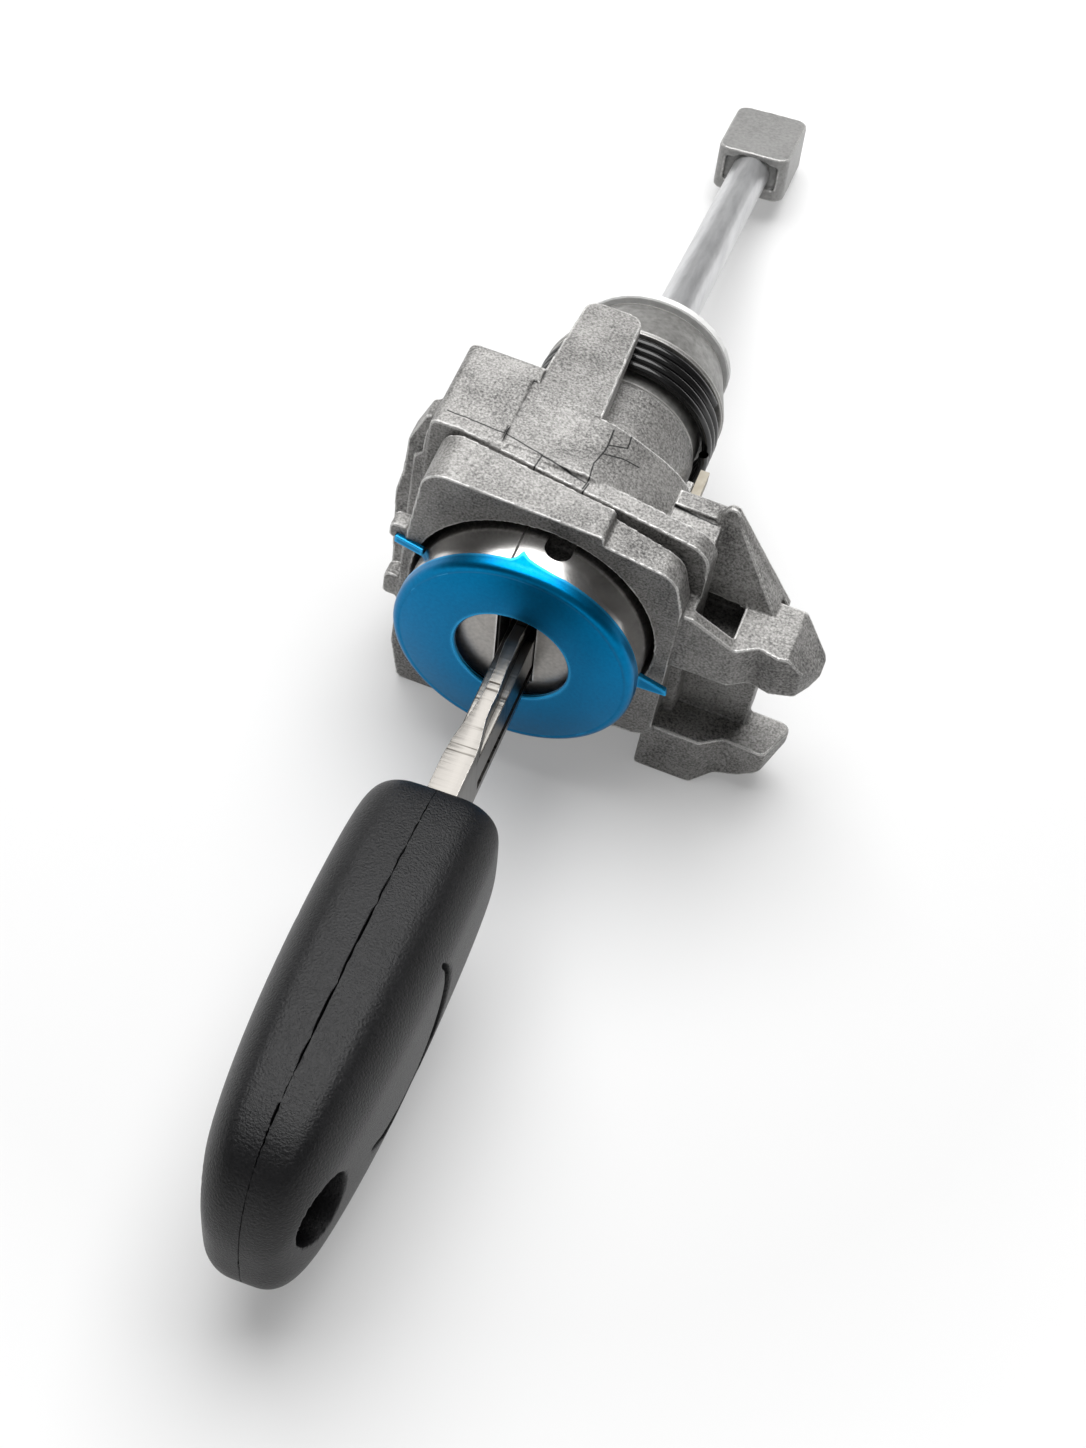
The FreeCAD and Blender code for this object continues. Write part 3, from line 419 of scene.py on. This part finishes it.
housing_zinc = cast_zinc.copy()
housing_zinc.name = "housing_zinc"
drawn_lines(housing_zinc, (
    ((2.0, 18.6), (2.08, 16.6), (2.04, 15.8), (1.6, 13.9), (1.82, 12.0), (1.6, 10.7)),
    ((2.08, 16.6), (3.82, 17.6), (3.7, 19.1)), ((2.0, 15.4), (3.7, 16.1), (5.45, 16.5)),
    ((-3.35, 11.0), (-3.1, 12.5)), ((1.75, 10.4), (1.95, 11.6)), ((10.0, 14.1), (14.3, 13.7)),
    ((-13.1, 13.7), (-6.75, 13.4), (-2.9, 12.45), (1.6, 11.55)),
), 0.11, 10.5)
finish_piece(casting, housing_zinc, "lock", "zinc", "housing")
barrel = copy_of_solid("barrel", "lock_barrel")
cut(barrel, slab("window_recess", [(0.1, 2.8), (3.1, 2.8), (3.1, 7.8), (0.1, 7.8)], 8.6, 14))
soften(barrel, 0.2, 8, 0.3)
finish_piece(barrel, cast_zinc, "lock", "zinc", "lock_barrel")

# Face cap: a thin pressed ring, anodised bright blue, its rolled rim bent back over the cup.
# Rim edges: rubbed wear with a painted highlight; creases: painted shade.
blue_coat = speckled("blue_coat", (0.0, 0.14, 0.315), (0.0, 0.17, 0.38), 1.0, 0.36, 2600, 0.05,
                     worn_highlight=(0.03, 0.34, 0.66), edge=0.0006)


def turned(name, rings, steps=128, closed=True):
    """A ring drawn out step by step through radius, y pairs about the lock's axis, then closed on itself."""
    bpy.ops.object.select_all(action="DESELECT")
    radius, y = rings[0]
    bpy.ops.mesh.primitive_circle_add(vertices=steps, radius=radius * mm, location=(0, y * mm, 0),
                                      rotation=(radians(90), 0, 0))
    piece = bpy.context.object
    piece.name = name
    bpy.ops.object.transform_apply()
    bpy.ops.object.mode_set(mode="EDIT")
    bpy.ops.mesh.select_all(action="SELECT")
    for next_radius, next_y in rings[1:]:
        bpy.ops.mesh.extrude_edges_move(TRANSFORM_OT_translate={"value": (0, (next_y - y) * mm, 0)})
        bpy.ops.transform.resize(value=(next_radius / radius, 1, next_radius / radius),
                                 center_override=(0, next_y * mm, 0))
        radius, y = next_radius, next_y
    bpy.ops.mesh.select_all(action="DESELECT")
    bpy.ops.mesh.select_mode(type="EDGE")
    bpy.ops.mesh.select_non_manifold()
    if closed:
        bpy.ops.mesh.bridge_edge_loops()
    else:
        bpy.ops.mesh.fill_holes(sides=0)
    bpy.ops.mesh.select_all(action="SELECT")
    bpy.ops.mesh.normals_make_consistent(inside=False)
    bpy.ops.object.mode_set(mode="OBJECT")
    bpy.ops.object.shade_smooth_by_angle(angle=radians(32))
    return piece


rim = 12.25
cap = turned("blue_cap", [(7.0, 1.1), (7.0, 0.42), (5.78, 0.42), (5.78, 0.1), (5.9, 0.0), (11.2, 0.0), (11.3, 0.05), (11.42, 0.04)]
             + [(rim - 0.8 + 0.8 * sin(radians(a)), 0.82 - 0.8 * cos(radians(a))) for a in (10, 30, 50, 70, 90)]
             + [(rim, 1.7), (rim - 0.28, 1.7), (rim - 0.28, 1.1)], steps=192)
fin_line = ((-1.8, 1.7), (-1.55, 2.2), (-1.2, 3.0), (-0.9, 2.7), (-0.55, 2.35), (0.0, 2.12), (0.55, 1.95), (1.4, 1.8),
            (2.2, 1.7))
bpy.context.view_layer.update()
for vertex in cap.data.vertices:
    x, y, z = (value / mm for value in vertex.co)
    if y > 1.65 and z > 0 and fin_line[0][0] < x < fin_line[-1][0]:
        for (x0, y0), (x1, y1) in zip(fin_line, fin_line[1:]):
            if x0 <= x < x1:
                vertex.co.y = (y0 + (y1 - y0) * (x - x0) / (x1 - x0)) * mm
left_tab = slab("left_tab", [(-14.5, 5.6), (-11.3, 5.0), (-11.3, 5.6), (-14.4, 6.2)], 3.4, 4.4)
right_tab = slab("right_tab", [(11.7, -1.4), (14.7, -2.3), (14.9, -3.1), (11.7, -3.3)], 4.2, 4.8, along="y")
for tab in (left_tab, right_tab):
    use_modifier(tab, "BEVEL", width=0.15 * mm, segments=2)
join_into(cap, (left_tab, right_tab))
finish_piece(cap, blue_coat, "lock", "blue_cap", "face_cap")

# Cup behind the cap: drawn steel, polished.
polished_steel = speckled("polished_steel", (0.50, 0.488, 0.475), (0.56, 0.547, 0.533), 1.0, 0.22, 900, 0.0)
cup = turned("steel_cup", [(7.1, 1.15), (11.65, 1.15), (11.8, 1.2), (11.9, 1.3), (11.95, 1.45), (11.95, 3.0),
                           (11.95, 11.15), (11.45, 11.2), (11.45, 1.6), (7.1, 1.6)], steps=160)
window = slab("cup_window", [(1.6 + 1.35 * cos(a), 4.8 + 1.35 * sin(a)) for a in
                             (radians(-180 + 15 * k) for k in range(13))] + [(2.95, 7.4), (0.25, 7.4)], 5, 14)
seam = slab("cup_seam", [(-2.1, 1.9), (-1.85, 1.9), (-1.85, 6.5), (-2.1, 6.5)], 5, 14)
for cutter in (window, seam):
    use_modifier(cup, "BOOLEAN", object=cutter, operation="DIFFERENCE", solver="EXACT")
    bpy.data.objects.remove(cutter)
only(cup)
bpy.ops.object.shade_smooth_by_angle(angle=radians(32))
finish_piece(cup, polished_steel, "lock", "polished_steel", "face_sleeve")

# Plug face: a satin steel disc.
# Edges: rubbed wear with a painted highlight; creases: painted shade.
satin_steel = speckled("satin_steel", (0.38, 0.362, 0.342), (0.50, 0.478, 0.452), 0.9, 0.36, 2500, 0.06,
                       worn_highlight=(0.8, 0.79, 0.77))
dress("plug_face", satin_steel)

# Key blade: stamped nickel silver.
# Edges: rubbed wear with a painted highlight; creases: painted shade.
nickel = speckled("nickel", (0.03, 0.026, 0.022), (0.165, 0.157, 0.146), 1.0, 0.28, 2000, 0.5,
                  worn_highlight=(0.6, 0.58, 0.55), across=0.04, edge=0.00012, ramp=(0.37, 0.45))
left_wall = ((-1.45, -36.0), (-1.45, -15.6), (-1.3, -13.6), (-1.0, -11.7), (-0.8, -10.3), (-0.58, -8.6), (-0.5, -6.5),
             (-0.5, -4.6), (-0.62, -3.0), (-0.7, -1.4), (-0.5, 2.0), (-0.8, 6.0), (-0.45, 10.0), (-0.8, 15.0),
             (-0.5, 20.0), (-0.5, 25.0), (-0.35, 27.2))
right_wall = ((1.45, -36.0), (1.45, -14.6), (1.38, -13.6), (1.15, -12.2), (0.85, -10.4), (0.78, -8.8), (0.82, -7.3),
              (0.68, -5.4), (0.6, -3.5), (0.58, -2.0), (0.5, -0.4), (0.8, 3.0), (0.5, 7.0), (0.85, 11.0),
              (0.5, 16.0), (0.8, 21.0), (0.45, 25.0), (0.35, 27.2))
blade = slab("blade", [(-1.45, -36), (1.45, -36), (1.45, 25.6), (0.5, 27.4), (-0.5, 27.4), (-1.45, 25.6)], -3.9, 2.0)
ridge_top = slab("ridge_top", list(right_wall) + list(reversed(left_wall)), 1.2, 3.9)
for part in (blade, ridge_top):
    use_modifier(part, "BEVEL", width=0.09 * mm, segments=2, limit_method="ANGLE", angle_limit=radians(40))
use_modifier(blade, "BOOLEAN", object=ridge_top, operation="UNION", solver="EXACT")
bpy.data.objects.remove(ridge_top)
cut(blade, slab("side_groove", [(1.0, -12.6), (1.25, -13.4), (1.6, -13.9), (1.6, 26.5), (1.0, 26.5)], -2.9, -1.6))
cut(blade, slab("side_groove", [(-1.6, -18.5), (-1.1, -18.0), (-1.1, 26.5), (-1.6, 26.5)], -1.2, 0.6))
blade.rotation_euler = (0, radians(-3.5), 0)
blade.location = (0.45 * mm, 0, 0)
only(blade)
bpy.ops.object.transform_apply()
bpy.ops.object.shade_smooth_by_angle(angle=radians(30))
finish_piece(blade, nickel, "key", "nickel", "key_blade")

# Key bow: two black moulded halves with a fine grain.
black_plastic = speckled("black_plastic", (0.002, 0.002, 0.0025), (0.008, 0.008, 0.009), 0.0, 0.38, 4300, 1.0, depth=0.0001)
black_plastic.node_tree.nodes["Principled BSDF"].inputs["Specular IOR Level"].default_value = 0.28
dress("key_chip", black_plastic)
bow_steps = (
    (-20.1, 4.9, 4.4, -4.8), (-20.35, 5.6, 5.2, -5.7), (-20.9, 6.15, 5.9, -6.6), (-22.7, 6.75, 6.7, -7.6),
    (-28.0, 7.0, 7.6, -8.8), (-36.0, 7.05, 8.4, -9.6), (-44.0, 6.9, 8.9, -10.4), (-52.0, 6.4, 9.1, -10.9),
    (-58.0, 5.7, 8.7, -11.2), (-61.0, 5.1, 7.4, -11.15), (-63.0, 4.4, 5.4, -10.4), (-64.3, 3.6, 2.9, -9.2),
    (-65.0, 2.5, 0.2, -7.7), (-65.2, 1.3, -1.8, -5.8),
)
y, half, top, foot = bow_steps[0]
bpy.ops.object.select_all(action="DESELECT")
bpy.ops.mesh.primitive_plane_add(size=1, location=(0, y * mm, (top + foot) / 2 * mm), rotation=(radians(90), 0, 0))
bow = bpy.context.object
bow.scale = (2 * half * mm, (top - foot) * mm, 1)
bpy.ops.object.transform_apply()
bpy.ops.object.mode_set(mode="EDIT")
bpy.ops.mesh.select_all(action="SELECT")
bpy.ops.mesh.bevel(offset=3 * mm, segments=6, affect="VERTICES")
for next_y, next_half, next_top, next_foot in bow_steps[1:]:
    bpy.ops.mesh.extrude_region_move(TRANSFORM_OT_translate={"value": (0, (next_y - y) * mm, 0)})
    bpy.ops.transform.resize(value=(next_half / half, 1, (next_top - next_foot) / (top - foot)),
                             center_override=(0, next_y * mm, (top + foot) / 2 * mm))
    bpy.ops.transform.translate(value=(0, 0, ((next_top + next_foot) - (top + foot)) / 2 * mm))
    y, half, top, foot = next_y, next_half, next_top, next_foot
bpy.ops.mesh.select_all(action="SELECT")
bpy.ops.mesh.normals_make_consistent(inside=False)
bpy.ops.object.mode_set(mode="OBJECT")
use_modifier(bow, "SUBSURF", levels=2, render_levels=2)


def oval_bar(name, y, z, long_half, high_half, x0, x1):
    """A bar of oval section along X, used to cut the bow."""
    bpy.ops.object.select_all(action="DESELECT")
    bpy.ops.mesh.primitive_cylinder_add(vertices=64, radius=1, depth=(x1 - x0) * mm, rotation=(0, radians(90), 0))
    bar = bpy.context.object
    bar.name = name
    bpy.ops.object.transform_apply()
    bar.scale = (1, long_half * mm, high_half * mm)
    bar.location = ((x0 + x1) / 2 * mm, y * mm, z * mm)
    bpy.ops.object.transform_apply()
    return bar


cut(bow, oval_bar("ring_hole", -59.6, -0.3, 3.4, 3.7, -12, 12))
panel_y, panel_z, panel_long, panel_high = -44.3, 0.7, 9.1, 6.9
for side in (-1, 1):
    crescent = oval_bar("crescent", panel_y, panel_z, panel_long, panel_high, *sorted((side * 5.5, side * 12)))
    cut(crescent, oval_bar("panel", panel_y - 1.3, panel_z + 1.5, panel_long, panel_high,
                           *sorted((side * 5.0, side * 13))))
    cut(bow, crescent)
    groove = oval_bar("groove", panel_y, panel_z, panel_long + 0.22, panel_high + 0.22,
                      *sorted((side * 6.82, side * 12)))
    cut(groove, oval_bar("panel", panel_y, panel_z, panel_long, panel_high, *sorted((side * 5.0, side * 13))))
    cut(bow, groove)
soften(bow, 0.19, 3, 0.5)

for side, half_name in ((-1, "left"), (1, "right")):
    shell = bow.copy()
    shell.data = bow.data.copy()
    shell.name = "bow_" + half_name
    bpy.context.scene.collection.objects.link(shell)
    only(shell)
    bpy.ops.object.mode_set(mode="EDIT")
    bpy.ops.mesh.select_all(action="SELECT")
    bpy.ops.mesh.bisect(plane_co=(side * 0.02 * mm, 0, 0), plane_no=(side, 0, 0), use_fill=True, clear_inner=True)
    bpy.ops.mesh.region_to_loop()
    bpy.ops.mesh.bevel(offset=0.1 * mm, segments=1, clamp_overlap=True)
    bpy.ops.mesh.select_all(action="SELECT")
    bpy.ops.mesh.normals_make_consistent(inside=False)
    bpy.ops.object.mode_set(mode="OBJECT")
    bpy.ops.object.shade_smooth_by_angle(angle=radians(30))
    shell.rotation_euler = (0, radians(-3.5), 0)
    shell.location = (0.45 * mm, 0, 0)
    only(shell)
    bpy.ops.object.transform_apply()
    finish_piece(shell, black_plastic, "key", "black_plastic", "key_bow_" + half_name)
bpy.data.objects.remove(bow)

# Drum and tail head: zinc castings, finer than the housing.
drum_cone = [(0.01, 30.5), (8.2, 30.5), (8.35, 30.65), (8.35, 36.1), (9.3, 36.1), (9.6, 36.2), (9.75, 36.5),
             (9.7, 36.8), (8.05, 41.7), (7.9, 42.05), (7.6, 42.2), (0.01, 42.2)]
drum = turned("drum", drum_cone, steps=128, closed=False)
socket = slab("socket", [(-2.6, 36.4), (2.6, 36.4), (2.6, 44), (-2.6, 44)], -3.35, 3.35)
cut(drum, socket)
only(drum)
bpy.ops.object.shade_smooth_by_angle(angle=radians(32))
# Edges: rubbed wear with a painted highlight; creases: painted shade.
drum_zinc = speckled("drum_zinc", (0.17, 0.167, 0.16), (0.30, 0.296, 0.285), 0.5, 0.4, 1300, 0.25,
                     worn_highlight=(0.6, 0.59, 0.57))
finish_piece(drum, drum_zinc, "core", "zinc", "driver")


def in_tail(piece):
    """Turns a piece drawn along the rod's own axis to where the tail hangs."""
    piece.rotation_euler = (radians(-14), 0, radians(0.8))
    piece.location = (0, 39.5 * mm, 0)
    only(piece)
    bpy.ops.object.transform_apply()
    return piece


tail_head = copy_of_solid("tail_head", "tail_block")
bore_fill = slab("bore_fill", [(-2.5, 50.1), (2.5, 50.1), (2.5, 56.8), (-2.5, 56.8)], -2.45, 2.02)
brow = slab("brow", [(-2.0, 49.5), (2.0, 49.5), (2.0, 56.8), (-2.0, 56.8)], 1.6, 2.2)
join_into(tail_head, [in_tail(bore_fill), in_tail(brow)])
head_back = max(vertex.co.y for vertex in tail_head.data.vertices)
head_foot = min(vertex.co.z for vertex in tail_head.data.vertices)
head_left = min(vertex.co.x for vertex in tail_head.data.vertices)
head_right = max(vertex.co.x for vertex in tail_head.data.vertices)
only(tail_head)
bpy.ops.object.mode_set(mode="EDIT")
bpy.ops.mesh.select_all(action="SELECT")
bpy.ops.transform.resize(value=(1.14, 1.09, 1.09),
                         center_override=((head_left + head_right) / 2, head_back, head_foot))
bpy.ops.object.mode_set(mode="OBJECT")
soften(tail_head, 0.13, 24, 0.5)
# Edges: rubbed wear with a painted highlight; creases: painted shade.
head_zinc = speckled("head_zinc", (0.23, 0.228, 0.222), (0.34, 0.337, 0.33), 0.25, 0.36, 2600, 0.12,
                     worn_highlight=(0.75, 0.74, 0.72), edge=0.0005)
finish_piece(tail_head, head_zinc, "tail", "zinc", "tail_block")

# Return spring: black oiled wire.
spring_black = speckled("spring_black", (0.003, 0.003, 0.003), (0.007, 0.007, 0.007), 0.0, 0.2, 1500, 0.04)
bpy.ops.object.select_all(action="DESELECT")
wire_r, coil_r, coil_turns, coil_pitch, coil_front = 0.52, 9.35, 3.95, 1.07, 31.1
bpy.ops.mesh.primitive_circle_add(vertices=16, radius=wire_r * mm, location=(coil_r * mm, coil_front * mm, 0))
coil = bpy.context.object
coil.name = "return_coil"
bpy.ops.object.transform_apply()
use_modifier(coil, "SCREW", axis="Y", angle=2 * pi * coil_turns, screw_offset=coil_turns * coil_pitch * mm,
             steps=300, render_steps=300, use_normal_calculate=True)
coil.rotation_euler = (0, radians(-9), 0)
bpy.ops.object.transform_apply()
bpy.ops.object.shade_smooth()
finish_piece(coil, spring_black, "lock", "spring_steel", "return_spring")

# Washer and stop pad: nylon.
white_nylon = speckled("white_nylon", (0.72, 0.72, 0.71), (0.86, 0.86, 0.85), 0.0, 0.45, 900, 0.05)
cream_nylon = speckled("cream_nylon", (0.34, 0.30, 0.23), (0.46, 0.42, 0.34), 0.0, 0.5, 900, 0.05)
washer = turned("washer", [(3.5, 42.23), (7.35, 42.23), (7.4, 42.52), (8.22, 42.54), (8.38, 42.66), (8.38, 43.3),
                           (8.22, 43.42), (5.1, 43.42), (4.75, 43.55), (4.6, 44.15), (4.45, 44.3), (3.85, 44.3),
                           (3.72, 44.2)], steps=96)
finish_piece(washer, white_nylon, "core", "white_nylon", "rear_washer")
dress("spring_stop", cream_nylon)

# Tail rod: drawn steel bar.
rod_steel = speckled("rod_steel", (0.48, 0.483, 0.49), (0.63, 0.634, 0.64), 0.8, 0.34, 1100, 0.08, stretch=0.06)
rod = copy_of_solid("rod", "tail_rod")
cut(rod, in_tail(slab("inside_head", [(-4, 50.8), (4, 50.8), (4, 58), (-4, 58)], -4, 4)))
only(rod)
bpy.ops.object.shade_smooth_by_angle(angle=radians(30))
finish_piece(rod, rod_steel, "tail", "rod_steel", "tail_rod")

# Wafers, leaf springs and pins inside.
wafer_brass = speckled("wafer_brass", (0.55, 0.38, 0.14), (0.72, 0.53, 0.24), 1.0, 0.3, 1800, 0.1)
pin_steel = speckled("pin_steel", (0.5, 0.5, 0.5), (0.62, 0.62, 0.62), 1.0, 0.25, 1800, 0.1)
for number in range(1, 9):
    dress("wafer_%d" % number, wafer_brass)
    leaf = copy_of_solid("leaf_%d" % number, "wafer_spring_%d" % number)
    leaf_foot, leaf_top = (limit(vertex.co.z for vertex in leaf.data.vertices) for limit in (min, max))
    finish_piece(leaf, spring_black, "core", "spring_steel",
                 "wafer_spring_%d" % number)
    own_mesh(leaf)
for node in ("blade_pin", "driver_pin", "rod_pin"):
    dress(node, pin_steel)
